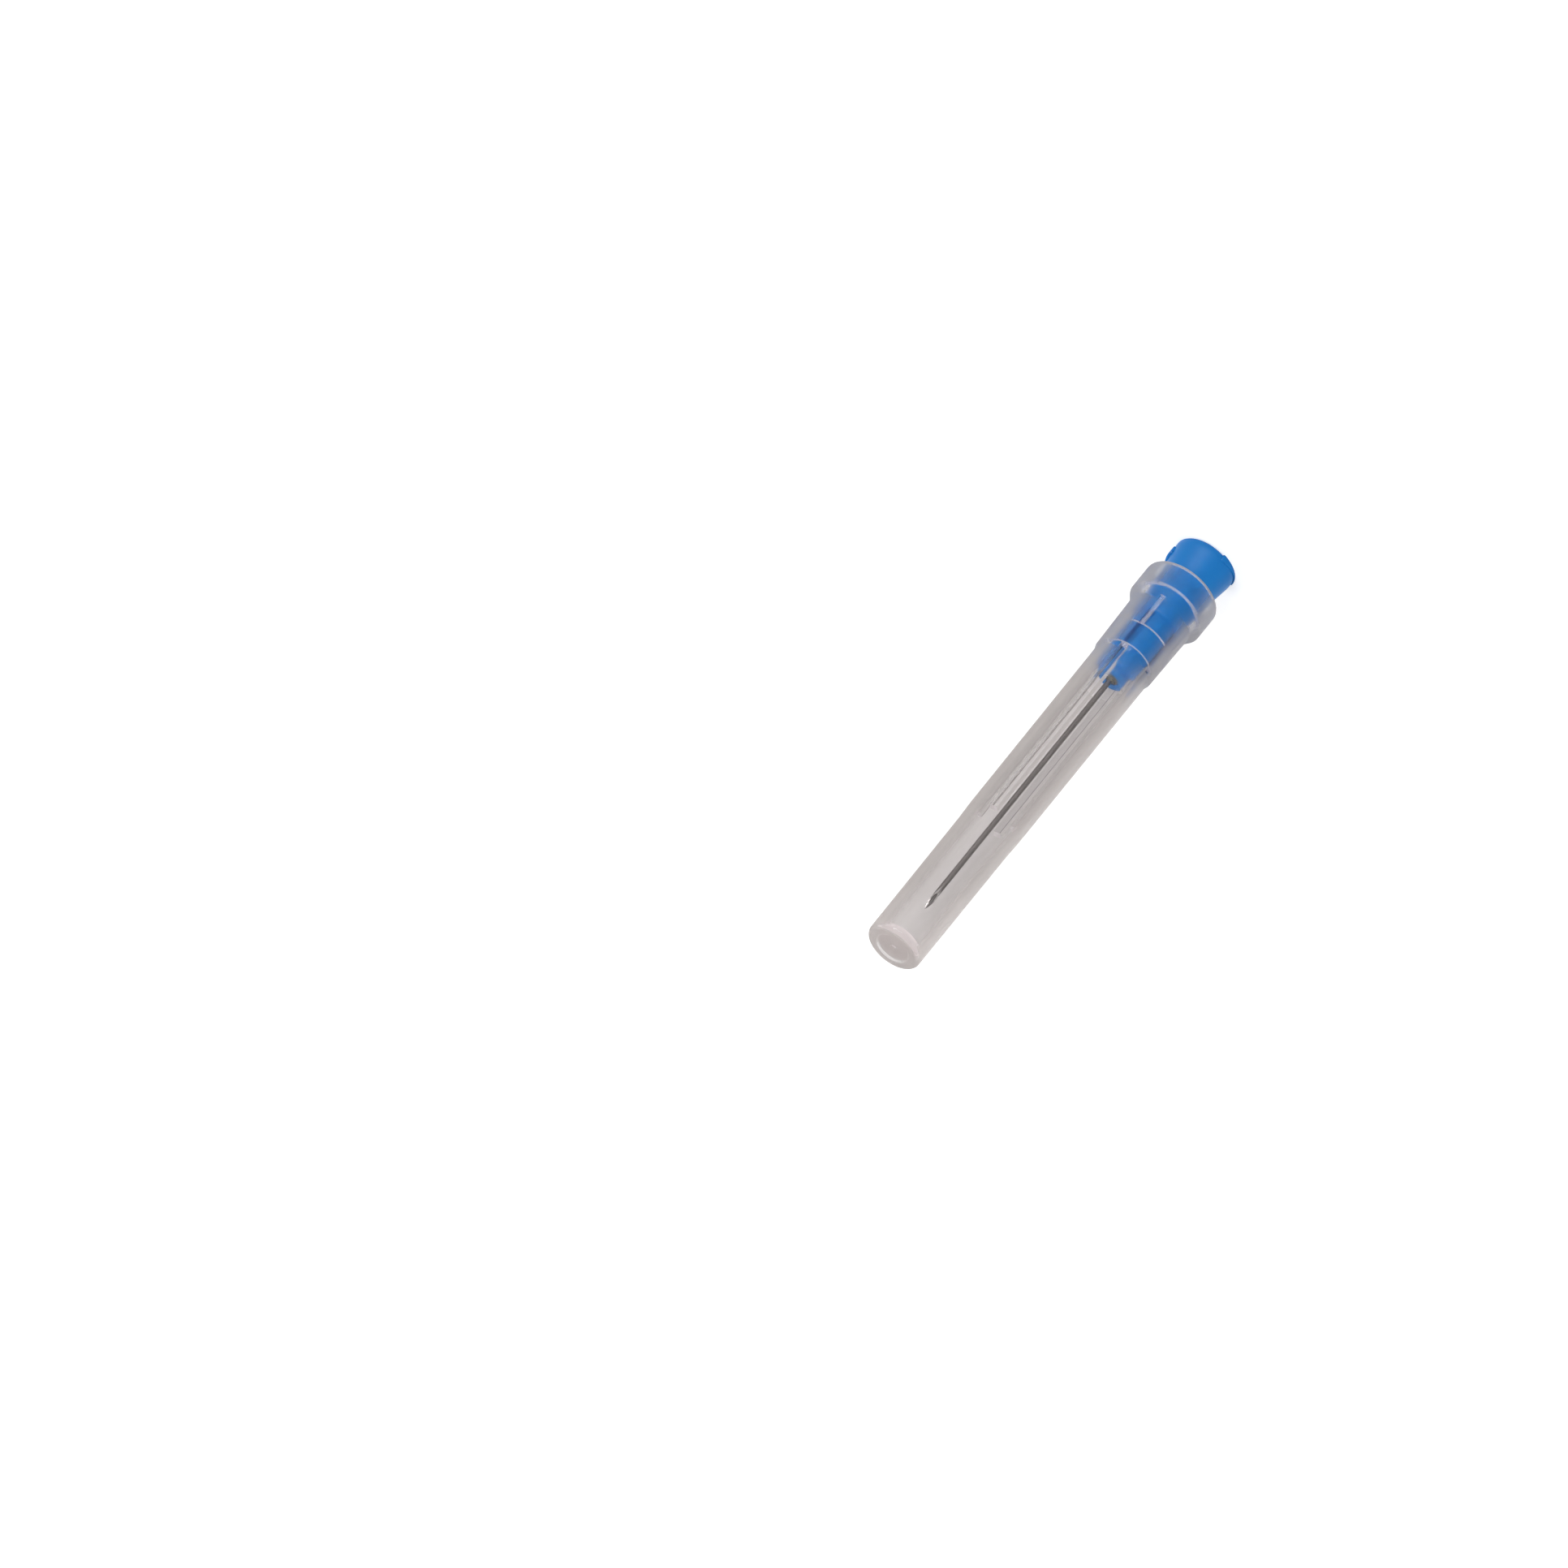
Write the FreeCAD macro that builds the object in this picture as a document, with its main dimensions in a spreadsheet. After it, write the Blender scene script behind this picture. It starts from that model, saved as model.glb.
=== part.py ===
"""A hypodermic needle in its sheath: 0.6 mm by 38 mm, standing on the hub's flat end, point up.

Millimetres. The origin is the centre of the hub's open end and +Z runs along the axis to the point.
Four pieces: the moulded hub, the ground steel tube, the bead of adhesive that joins them, and the
translucent sheath that pulls off along +Z.
"""
import FreeCAD, Part
import os
import re
import Sketcher

os.makedirs("parts", exist_ok=True)
doc = FreeCAD.newDocument("HypodermicNeedle")

# Driving sizes, in millimetres and degrees
SIZES = {
    # Hub, from its open end upwards
    "rim_radius": 3.78,
    "rim_height": 0.8,
    "rim_chamfer": 0.22,
    "flare_end": 4.1,
    "barrel_base_radius": 3.306,
    "barrel_end_radius": 3.15,
    "barrel_height": 11.0,
    "barrel_chamfer": 0.3,
    "nose_radius": 2.7,
    "nose_draft": 0.08,
    "nose_length": 8.3,
    "nose_chamfer": 0.35,
    "core_proud": 0.7,
    "core_chamfer": 0.3,
    # Two lock lugs, opposite pieces of one thread; the lower one runs out at the open end
    "lug_radius": 3.915,
    "lug_start": -6,
    "lug_arc": 80,
    "lug_lead": 5.0,
    "lug_thickness": 1.1,
    "lug_foot": 1.12,
    # Tapered socket: the 6% taper, 4.3 mm across at its mouth
    "socket_mouth_radius": 2.155,
    "socket_taper": 0.06,
    "socket_depth": 8.5,
    "socket_chamfer": 0.15,
    "funnel_length": 1.6,
    # Steel tube, 23 gauge
    "cannula_radius": 0.32,
    "cannula_bore_radius": 0.168,
    "exposed_length": 38.0,
    "seat_clearance": 0.01,
    "bevel_angle": 12,
    "lancet_angle": 17,
    "lancet_turn": 40,
    # Adhesive and the well that holds it
    "well_radius": 0.95,
    "well_floor_radius": 0.62,
    "well_depth": 2.8,
    "bead_sink": 0.12,
    "bead_climb": 0.4,
    "bead_edge": 0.05,
    "meniscus": 0.28,
    # Sheath, fitted round the hub
    "mouth_gap": 0.7,
    "mouth_bore_depth": 2.8,
    "mouth_relief": 0.33,
    "collar_wall": 0.94,
    "collar_length": 3.8,
    "collar_round": 0.62,
    "shoulder_chamfer": 0.25,
    "shoulder_length": 1.15,
    "grip_clearance": 0.03,
    "grip_rib_height": 0.2,
    "grip_rib_width": 0.55,
    "grip_rib_count": 4,
    "grip_rib_turn": 24,
    "grip_rib_lead": 1.3,
    "grip_wall": 0.51,
    "grip_draft": 0.14,
    "grip_past_barrel": 2.5,
    "middle_length": 3.1,
    "middle_relief": 0.25,
    "step_cover": 0.7,
    "step_length": 0.5,
    "nose_clearance": 0.1,
    "tube_wall": 0.79,
    "rear_draft": 0.07,
    "front_step": 0.08,
    "front_step_length": 2.6,
    "front_draft": 0.06,
    "front_bore_step": 0.13,
    "point_gap": 5.5,
    "end_wall": 1.1,
    "end_round": 0.6,
    "dish_margin": 1.2,
    "dish_depth": 0.2,
    "gate_radius": 0.38,
    "gate_height": 0.13,
    # Four long ribs inside the sheath, and the hub's grooves that they run in
    "rib_count": 4,
    "rib_turn": 28,
    "rib_tip_radius": 1.96,
    "rib_width": 0.85,
    "rib_length": 27.1,
    "rib_root": 0.3,
    "groove_side_clearance": 0.1,
    "groove_floor_clearance": 0.08,
}

# Sizes that follow from the driving ones, in the same words
FOLLOWS = {
    "nose_end": "barrel_height + nose_length",
    "hub_end": "nose_end + core_proud",
    "groove_floor": "rib_tip_radius - groove_floor_clearance",
    "barrel_slope": "(barrel_base_radius - barrel_end_radius) / (barrel_height - flare_end)",
    "socket_end_radius": "socket_mouth_radius - socket_taper / 2 * socket_depth",
    "seat_radius": "cannula_radius + seat_clearance",
    "funnel_end": "socket_depth + funnel_length",
    "point": "hub_end + exposed_length",
    "well_floor": "hub_end - well_depth",
    "well_slope": "(well_radius - well_floor_radius) / well_depth",
    "bead_top": "hub_end - bead_sink",
    "mouth": "flare_end + mouth_gap",
    "grip_start": "mouth + mouth_bore_depth",
    "grip_rib_start": "grip_start + grip_rib_lead",
    "grip_end": "barrel_height + grip_past_barrel",
    "middle_end": "grip_end + middle_length",
    "grip_rib_tip": "barrel_base_radius - barrel_slope * (grip_rib_start - flare_end) + grip_clearance",
    "grip_bore": "grip_rib_tip + grip_rib_height",
    "mouth_bore": "grip_bore + mouth_relief",
    "collar_radius": "mouth_bore + collar_wall",
    "grip_radius": "grip_bore + grip_wall",
    "tube_bore": "nose_radius + nose_clearance",
    "tube_radius": "tube_bore + tube_wall",
    "step_start": "middle_end + step_cover",
    "rib_end": "middle_end + rib_length",
    "bore_end": "point + point_gap",
    "sheath_end": "bore_end + end_wall",
    "front_radius": "tube_radius - rear_draft - front_step",
    "end_radius": "front_radius - front_draft",
    "dish_radius": "end_radius - dish_margin",
    "dish_floor": "sheath_end - dish_depth",
}
WORD = re.compile(r"[a-z_]+")

# Two places closer than this are the same place
SAME = 1e-4

sheet = doc.addObject("Spreadsheet::Sheet", "Sizes")
for row, (alias, size) in enumerate(SIZES.items(), start=1):
    sheet.set(f"A{row}", alias)
    sheet.set(f"B{row}", str(size))
    sheet.setAlias(f"B{row}", alias)
doc.recompute()


def bound(text):
    """Write an expression in plain words as one of the sheet's own cells."""
    while any(word in FOLLOWS for word in WORD.findall(text)):
        text = WORD.sub(lambda word: f"({FOLLOWS[word[0]]})" if word[0] in FOLLOWS else word[0], text)
    return WORD.sub(lambda word: f"Sizes.{word[0]}" if word[0] in SIZES else word[0], text)


def number(text):
    """The value of an expression in plain words."""
    return float(sheet.evalExpression(bound(text)))


def new_piece(label):
    """An empty body for one physical piece."""
    body = doc.addObject("PartDesign::Body", label)
    body.Label = label
    body.Placement = FreeCAD.Placement()
    return body


def origin_feature(body, role):
    """One of a body's own origin planes or axes."""
    return next(feature for feature in body.Origin.OriginFeatures if feature.Role == role)


def sketch_on(body, name, role, turn="0", foot="0"):
    """A sketch on an origin plane, turned about the piece's axis and lifted to its foot."""
    sketch = body.newObject("Sketcher::SketchObject", name)
    sketch.AttachmentSupport = [(origin_feature(body, role), "")]
    sketch.MapMode = "FlatFace"
    upright = FreeCAD.Vector(0, 0, 1) if role == "XY_Plane" else FreeCAD.Vector(0, 1, 0)
    spin = FreeCAD.Rotation(upright, number(turn))
    sketch.AttachmentOffset = FreeCAD.Placement(FreeCAD.Vector(0, 0, number(foot)), spin)
    if turn != "0":
        sketch.setExpression("AttachmentOffset.Rotation.Angle", bound(turn))
    if foot != "0":
        sketch.setExpression("AttachmentOffset.Base.z", bound(foot))
    return sketch


def tie(sketch, kind, line, text):
    """Fix one coordinate of a line's start, to an axis where it is zero and to a size elsewhere."""
    if text == "0":
        axis = -2 if kind == "DistanceX" else -1
        sketch.addConstraint(Sketcher.Constraint("PointOnObject", line, 1, axis))
        return
    place = sketch.addConstraint(Sketcher.Constraint(kind, -1, 1, line, 1, number(text)))
    sketch.setExpression(f"Constraints[{place}]", bound(text))


def outline(sketch, corners):
    """Close straight lines through the corners, each corner tied to its two expressions."""
    points = [FreeCAD.Vector(number(across), number(up), 0) for across, up in corners]
    for start, end in zip(points, points[1:] + points[:1]):
        sketch.addGeometry(Part.LineSegment(start, end), False)
    for line in range(len(points)):
        before = (line - 1) % len(points)
        sketch.addConstraint(Sketcher.Constraint("Coincident", before, 2, line, 1))
    for line, (across, up) in enumerate(corners):
        tie(sketch, "DistanceX", line, across)
        tie(sketch, "DistanceY", line, up)
    return sketch


def turned(body, kind, name, corners):
    """Revolve a closed outline round the axis, to add material or to cut it."""
    sketch = outline(sketch_on(body, f"{name}Outline", "XZ_Plane"), corners)
    feature = body.newObject(f"PartDesign::{kind}", name)
    feature.Profile = sketch
    feature.ReferenceAxis = (sketch, ["V_Axis"])
    feature.Angle = 360
    doc.recompute()
    return feature


def eased(body, kind, name, size, radius, height):
    """Fillet or chamfer the circular edge that lies at a radius and a height."""
    base = body.Tip
    edges = []
    for count, edge in enumerate(base.Shape.Edges, start=1):
        circle = edge.Curve
        if isinstance(circle, Part.Circle) and abs(circle.Radius - number(radius)) < SAME:
            if abs(circle.Center.z - number(height)) < SAME:
                edges.append(f"Edge{count}")
    feature = body.newObject(f"PartDesign::{kind}", name)
    feature.Base = (base, edges)
    setting = "Radius" if kind == "Fillet" else "Size"
    setattr(feature, setting, number(size))
    feature.setExpression(setting, bound(size))
    doc.recompute()
    return feature


def repeated(body, name, feature, count):
    """Repeat a feature evenly round the axis."""
    pattern = body.newObject("PartDesign::PolarPattern", name)
    pattern.Originals = [feature]
    pattern.Axis = (origin_feature(body, "Z_Axis"), [""])
    pattern.Angle = 360
    pattern.Occurrences = int(number(count))
    pattern.setExpression("Occurrences", bound(count))
    body.Tip = pattern
    doc.recompute()
    return pattern


def spoke(body, name, inner, outer, width, foot, turn):
    """A rectangle across a radius, drawn flat at a height and turned about the axis."""
    low = f"-({width}) / 2"
    high = f"({width}) / 2"
    sketch = sketch_on(body, f"{name}Outline", "XY_Plane", turn, foot)
    return outline(sketch, [(inner, low), (outer, low), (outer, high), (inner, high)])


def prism(body, kind, name, sketch, length, reverse=False):
    """Pad or pocket a sketch by a length."""
    feature = body.newObject(f"PartDesign::{kind}", name)
    feature.Profile = sketch
    feature.Length = number(length)
    feature.setExpression("Length", bound(length))
    feature.Reversed = reverse
    doc.recompute()
    return feature


def volume_changed(feature, more):
    """Stop if a feature missed the solid it was meant to add to or cut."""
    change = feature.Shape.Volume - feature.BaseFeature.Shape.Volume
    if (change > 0) != more:
        raise ValueError(f"{feature.Label} changed the volume by {change:.4f}")


# Hub: flared foot, tapered barrel and nose, turned as one moulding with its core inside
hub = new_piece("luer_hub")
turned(hub, "Revolution", "HubForm", [
    ("0", "0"),
    ("rim_radius", "0"),
    ("rim_radius", "rim_height"),
    ("barrel_base_radius", "flare_end"),
    ("barrel_end_radius", "barrel_height"),
    ("nose_radius", "barrel_height"),
    ("nose_radius - nose_draft", "nose_end"),
    ("groove_floor", "nose_end"),
    ("groove_floor", "hub_end"),
    ("0", "hub_end"),
])
eased(hub, "Chamfer", "RimChamfer", "rim_chamfer", "rim_radius", "0")
eased(hub, "Chamfer", "BarrelChamfer", "barrel_chamfer", "barrel_end_radius", "barrel_height")
eased(hub, "Chamfer", "NoseChamfer", "nose_chamfer", "nose_radius - nose_draft", "nose_end")
eased(hub, "Chamfer", "CoreChamfer", "core_chamfer", "groove_floor", "hub_end")


def helical_lug(name, turn, foot):
    """A piece of the lock thread, from a turn and a height upwards along the helix."""
    section = outline(sketch_on(hub, f"{name}Outline", "XZ_Plane", turn=turn), [
        ("barrel_end_radius", foot),
        ("lug_radius", foot),
        ("lug_radius", f"{foot} + lug_thickness"),
        ("barrel_end_radius", f"{foot} + lug_thickness"),
    ])
    lug = hub.newObject("PartDesign::AdditiveHelix", name)
    lug.Profile = section
    lug.ReferenceAxis = (section, ["V_Axis"])
    lug.Mode = "pitch-height-angle"
    lug.Pitch = number("lug_lead")
    lug.Height = number("lug_lead * lug_arc / 360")
    lug.setExpression("Pitch", bound("lug_lead"))
    lug.setExpression("Height", bound("lug_lead * lug_arc / 360"))
    doc.recompute()
    volume_changed(lug, more=True)


# Lock lugs: half a turn and half a lead apart, the lower one cut flush with the open end
helical_lug("UpperLug", "lug_start", "lug_foot")
helical_lug("LowerLug", "lug_start + 180", "lug_foot - lug_lead / 2")
open_end = turned(hub, "Groove", "OpenEnd", [
    ("0", "-lug_lead"),
    ("lug_radius + lug_lead", "-lug_lead"),
    ("lug_radius + lug_lead", "0"),
    ("0", "0"),
])
volume_changed(open_end, more=False)

# Inside of the hub: tapered socket, funnel, seat for the tube and the well for the adhesive
socket = turned(hub, "Groove", "Socket", [
    ("0", "0"),
    ("socket_mouth_radius", "0"),
    ("socket_end_radius", "socket_depth"),
    ("seat_radius", "funnel_end"),
    ("0", "funnel_end"),
])
volume_changed(socket, more=False)
eased(hub, "Chamfer", "SocketChamfer", "socket_chamfer", "socket_mouth_radius", "0")
seat = turned(hub, "Groove", "Seat", [
    ("0", "funnel_end - funnel_length / 2"),
    ("seat_radius", "funnel_end - funnel_length / 2"),
    ("seat_radius", "well_floor"),
    ("well_floor_radius", "well_floor"),
    ("well_radius", "hub_end"),
    ("0", "hub_end"),
])
volume_changed(seat, more=False)

# Nose grooves: each lets one of the sheath's ribs in, so that the sheath turns the hub
groove_outline = spoke(
    hub, "Groove", "groove_floor", "nose_radius + barrel_chamfer",
    "rib_width + 2 * groove_side_clearance", "barrel_height", "rib_turn",
)
groove = prism(hub, "Pocket", "NoseGroove", groove_outline, "nose_length", reverse=True)
volume_changed(groove, more=False)
repeated(hub, "NoseGrooves", groove, "rib_count")

# Tube: drawn steel with a long first bevel and two shorter ones that sharpen its point
cannula = new_piece("cannula")
turned(cannula, "Revolution", "Tube", [
    ("cannula_bore_radius", "funnel_end"),
    ("cannula_radius", "funnel_end"),
    ("cannula_radius", "point"),
    ("cannula_bore_radius", "point"),
])


def ground_facet(name, angle, turn):
    """Grind the tube by a plane through the point, at an angle to the axis and turned about it."""
    reach = f"cannula_radius * cos({turn})"
    drop = f"({reach} + 2 * cannula_radius) / tan({angle})"
    sketch = outline(sketch_on(cannula, f"{name}Outline", "YZ_Plane", turn=turn), [
        (reach, "point"),
        ("-2 * cannula_radius", f"point - {drop}"),
        ("-2 * cannula_radius", "point + cannula_radius"),
        (reach, "point + cannula_radius"),
    ])
    facet = cannula.newObject("PartDesign::Pocket", name)
    facet.Profile = sketch
    facet.SideType = "Symmetric"
    facet.Length = number("8 * cannula_radius")
    facet.setExpression("Length", bound("8 * cannula_radius"))
    doc.recompute()
    volume_changed(facet, more=False)


ground_facet("Bevel", "bevel_angle", "0")
ground_facet("LancetLeft", "lancet_angle", "lancet_turn")
ground_facet("LancetRight", "lancet_angle", "-lancet_turn")

# Adhesive: fills the well and climbs the tube
bead = new_piece("adhesive_bead")
turned(bead, "Revolution", "Bead", [
    ("cannula_radius", "well_floor"),
    ("well_floor_radius", "well_floor"),
    ("well_radius - well_slope * bead_sink", "bead_top"),
    ("cannula_radius + bead_edge", "bead_top"),
    ("cannula_radius + bead_edge", "bead_top + bead_climb"),
    ("cannula_radius", "bead_top + bead_climb"),
])
eased(bead, "Chamfer", "Meniscus", "meniscus", "cannula_radius + bead_edge", "bead_top")

# Sheath: one thin moulding, its steps inside following the hub with named clearances
sheath = new_piece("needle_sheath")
turned(sheath, "Revolution", "SheathForm", [
    ("mouth_bore", "mouth"),
    ("collar_radius", "mouth"),
    ("collar_radius", "mouth + collar_length"),
    ("grip_radius", "mouth + collar_length + shoulder_length"),
    ("grip_radius - grip_draft", "step_start"),
    ("tube_radius", "step_start + step_length"),
    ("tube_radius - rear_draft", "rib_end"),
    ("front_radius", "rib_end + front_step_length"),
    ("end_radius", "sheath_end"),
    ("0", "sheath_end"),
    ("0", "bore_end"),
    ("tube_bore - front_bore_step", "bore_end"),
    ("tube_bore - front_bore_step", "rib_end + front_step_length"),
    ("tube_bore", "rib_end"),
    ("tube_bore", "middle_end"),
    ("tube_bore + middle_relief", "middle_end"),
    ("tube_bore + middle_relief", "grip_end"),
    ("grip_bore", "grip_end"),
    ("grip_bore", "grip_start"),
    ("mouth_bore", "grip_start"),
])
eased(sheath, "Fillet", "CollarRound", "collar_round", "collar_radius", "mouth")
eased(sheath, "Chamfer", "ShoulderChamfer", "shoulder_chamfer", "collar_radius", "mouth + collar_length")
eased(sheath, "Fillet", "EndRound", "end_round", "end_radius", "sheath_end")

# Closed end: a shallow dish with the trimmed gate at its centre
dish = turned(sheath, "Groove", "Dish", [
    ("gate_radius", "dish_floor"),
    ("dish_radius - dish_depth", "dish_floor"),
    ("dish_radius", "sheath_end"),
    ("0", "sheath_end"),
    ("0", "dish_floor + gate_height"),
    ("gate_radius", "dish_floor + gate_height"),
])
volume_changed(dish, more=False)

# Ribs: four short ones grip the barrel, four long ones run in the nose's grooves
grip_outline = spoke(
    sheath, "GripRib", "grip_rib_tip", "grip_bore + grip_wall / 2",
    "grip_rib_width", "grip_rib_start", "grip_rib_turn",
)
grip_rib = prism(sheath, "Pad", "GripRib", grip_outline, "grip_end - grip_rib_start")
volume_changed(grip_rib, more=True)
repeated(sheath, "GripRibs", grip_rib, "grip_rib_count")
rib_outline = spoke(
    sheath, "LongRib", "rib_tip_radius", "tube_bore + rib_root", "rib_width", "middle_end", "rib_turn",
)
long_rib = prism(sheath, "Pad", "LongRib", rib_outline, "rib_length")
volume_changed(long_rib, more=True)
repeated(sheath, "LongRibs", long_rib, "rib_count")

# Every feature has to be sound before any piece is written
doc.recompute()
for item in doc.Objects:
    if "Invalid" in item.State or "Error" in item.State:
        raise ValueError(f"{item.Label} failed: {item.State}")
pieces = [hub, cannula, bead, sheath]
for piece in pieces:
    if piece.Shape.isNull() or not piece.Shape.isValid() or len(piece.Shape.Solids) != 1:
        raise ValueError(f"{piece.Label} is not one sound solid")
for piece in pieces:
    piece.Shape.exportStep(f"parts/{piece.Label}.step")
    box = piece.Shape.optimalBoundingBox(True, False)
    heights = f"{box.ZMin:.2f} to {box.ZMax:.2f}"
    print(f"{piece.Label}: {piece.Shape.Volume:.2f} mm3, z {heights}, {box.XLength:.2f} wide")
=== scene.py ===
import math

import bmesh
import bpy
import numpy as np
from mathutils import Matrix, Vector


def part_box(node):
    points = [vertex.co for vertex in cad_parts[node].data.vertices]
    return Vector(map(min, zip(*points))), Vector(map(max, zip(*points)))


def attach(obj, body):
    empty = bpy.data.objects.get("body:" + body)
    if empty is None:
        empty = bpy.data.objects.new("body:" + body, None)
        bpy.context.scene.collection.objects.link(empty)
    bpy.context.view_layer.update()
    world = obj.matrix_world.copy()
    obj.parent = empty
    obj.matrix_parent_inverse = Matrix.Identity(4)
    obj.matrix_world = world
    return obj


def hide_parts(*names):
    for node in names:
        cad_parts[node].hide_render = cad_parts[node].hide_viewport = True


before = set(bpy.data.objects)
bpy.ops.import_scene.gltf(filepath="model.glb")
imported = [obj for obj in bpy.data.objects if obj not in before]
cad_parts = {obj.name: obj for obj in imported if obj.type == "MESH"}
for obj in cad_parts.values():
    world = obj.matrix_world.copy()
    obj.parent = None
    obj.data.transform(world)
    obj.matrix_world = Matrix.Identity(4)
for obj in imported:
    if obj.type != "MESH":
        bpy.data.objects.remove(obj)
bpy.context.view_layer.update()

# Hub
# One injection moulding in blue polypropylene: a tapered socket that a syringe's cone goes into, a flared
# foot with two lock lugs, a plain tapered barrel, and a nose with four grooves for the sheath's ribs.
# Sizes are in millimetres, as on the hub's drawing.
MM = 0.001
_, hub_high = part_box("luer_hub")
HUB_END = hub_high.z / MM
RIM_RADIUS = 3.78
RIM_HEIGHT = 0.8
RIM_BEVEL_WIDTH = 0.22
RIM_BEVEL_HEIGHT = 0.25
FLARE_END = 4.1
BARREL_FOOT_RADIUS = 3.306
BARREL_END_RADIUS = 3.15
BARREL_END = 11.0
NOSE_RADIUS = 2.7
NOSE_END_RADIUS = 2.62
STUB_LENGTH = 0.7
NOSE_END = HUB_END - STUB_LENGTH
CORE_RADIUS = 1.88
SOCKET_MOUTH_RADIUS = 2.155
SOCKET_END_RADIUS = 1.9
SOCKET_DEPTH = 8.5
MOUTH_EASE = 0.15
SEAT_RADIUS = 0.33
SEAT_FOOT = 10.1
WELL_FOOT = 17.2
WELL_FOOT_RADIUS = 0.62
WELL_RADIUS = 0.95

GROOVE_COUNT = 4
GROOVE_TURN = math.radians(28)
GROOVE_WIDTH = 1.05


def rounded(corners, closed=False, steps=6):
    """A profile of (radius, height) points from corners (radius, height, ease). Each corner becomes an arc
    of radius ease that touches both of its straight sides; the arc's spokes turn evenly from the first
    side's to the last side's. An ease of nought keeps the corner sharp, and so do the two ends of an open
    profile."""
    points = []
    for place, (radius, height, ease) in enumerate(corners):
        corner = np.array([radius, height])
        at_an_end = not closed and place in (0, len(corners) - 1)
        if ease == 0 or at_an_end:
            points.append(corner)
            continue
        back = np.array(corners[place - 1][:2]) - corner
        ahead = np.array(corners[(place + 1) % len(corners)][:2]) - corner
        back = back / np.linalg.norm(back)
        ahead = ahead / np.linalg.norm(ahead)
        half = math.acos(back @ ahead) / 2
        middle = (back + ahead) / np.linalg.norm(back + ahead) * ease / math.sin(half)
        first = back * ease / math.tan(half) - middle
        last = ahead * ease / math.tan(half) - middle
        sweep = math.pi - 2 * half
        share = np.linspace(0, 1, steps + 1)[:, None]
        spokes = (np.sin((1 - share) * sweep) * first + np.sin(share * sweep) * last) / math.sin(sweep)
        points.extend(corner + middle + spokes)
    return np.array(points)


def notched_rings(profile, depth, notch):
    """Rings of points round the axis, one for each profile row (radius, height). A ring is a circle of the
    row's radius, cut by straight-sided notches with flat floors that lie at the depth from the axis. Where
    the depth is past the radius the ring is a plain circle with the same number of points. Near the axis
    the notches narrow, so that each takes up no more than its share of the circle."""
    radius = profile[:, :1]
    pitch = 2 * math.pi / notch["count"]
    widest_half_turn = 0.3 * pitch
    half = np.minimum(notch["width"] / 2, radius * math.sin(widest_half_turn))
    edge = np.sqrt(radius**2 - half**2)
    across = half * np.array(notch["floor_points"])
    along = np.minimum(depth, np.sqrt(radius**2 - across**2))
    first = np.arctan2(half, edge)
    angle = first + (pitch - 2 * first) * np.arange(notch["arc_points"]) / notch["arc_points"]
    x = np.hstack([edge, along, radius * np.cos(angle)])
    y = np.hstack([-half, across, radius * np.sin(angle)])
    turns = notch["turn"] + pitch * np.arange(notch["count"])[:, None, None]
    ring_x = np.hstack(list(x * np.cos(turns) - y * np.sin(turns)))
    ring_y = np.hstack(list(x * np.sin(turns) + y * np.cos(turns)))
    ring_z = np.broadcast_to(profile[:, 1:], ring_x.shape)
    return np.stack([ring_x, ring_y, ring_z], axis=2)


def skin(name, grid, closed):
    """A piece from a grid of rings in millimetres. Four-sided faces join each ring to the next, and the
    last ring to the first where closed."""
    rows, columns = grid.shape[:2]
    index = np.arange(rows * columns).reshape(rows, columns)
    lower = index if closed else index[:-1]
    upper = np.roll(index, -1, axis=0) if closed else index[1:]
    faces = np.stack([lower, np.roll(lower, -1, axis=1), np.roll(upper, -1, axis=1), upper], axis=2)
    mesh = bpy.data.meshes.new(name)
    mesh.from_pydata(grid.reshape(-1, 3) * MM, [], faces.reshape(-1, 4))
    piece = bpy.data.objects.new(name, mesh)
    bpy.context.collection.objects.link(piece)
    return piece


def close_surface(piece):
    """Makes points that fall together, as at a pole or where rings meet, into one, and turns the faces
    outwards."""
    same_point_mm = 0.0002
    shape = bmesh.new()
    shape.from_mesh(piece.data)
    bmesh.ops.remove_doubles(shape, verts=shape.verts, dist=same_point_mm * MM)
    bmesh.ops.recalc_face_normals(shape, faces=shape.faces)
    shape.to_mesh(piece.data)
    shape.free()


def shade_evenly(piece, sharp_degrees=35):
    """Closes the piece's surface and shades it smooth, but for edges that turn by more than the sharp
    angle, with each point's normal led by the larger faces round it."""
    close_surface(piece)
    piece.data.shade_smooth()
    piece.data.set_sharp_from_angle(angle=math.radians(sharp_degrees))
    weighted = piece.modifiers.new("even shading", "WEIGHTED_NORMAL")
    weighted.keep_sharp = True


def linear(hex_colour):
    """An sRGB hex colour as linear red, green, blue and a full alpha. The sRGB curve is undone: near black
    a share is divided by 12.92, and above that it is raised to the power 2.4 after a small offset."""
    shares = [int(hex_colour[i:i + 2], 16) / 255 for i in (1, 3, 5)]
    return (*[c / 12.92 if c <= 0.04045 else ((c + 0.055) / 1.055) ** 2.4 for c in shares], 1.0)


def node(tree, kind, settings=(), links=()):
    """A shader node. A setting goes to the node's own property of that name, else to its input socket of
    that name or number; a link brings another node's output to an input socket."""
    made = tree.nodes.new(kind)
    for key, value in dict(settings).items():
        if isinstance(key, str) and hasattr(made, key):
            setattr(made, key, value)
        else:
            made.inputs[key].default_value = value
    for key, source in dict(links).items():
        tree.links.new(source, made.inputs[key])
    return made


def new_finish(name):
    """A new material with an empty node tree, and the place on the piece that its patterns read."""
    finish = bpy.data.materials.new(name)
    finish.use_nodes = True
    finish.node_tree.nodes.clear()
    place = node(finish.node_tree, "ShaderNodeTexCoord").outputs["Object"]
    return finish, finish.node_tree, place


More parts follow.
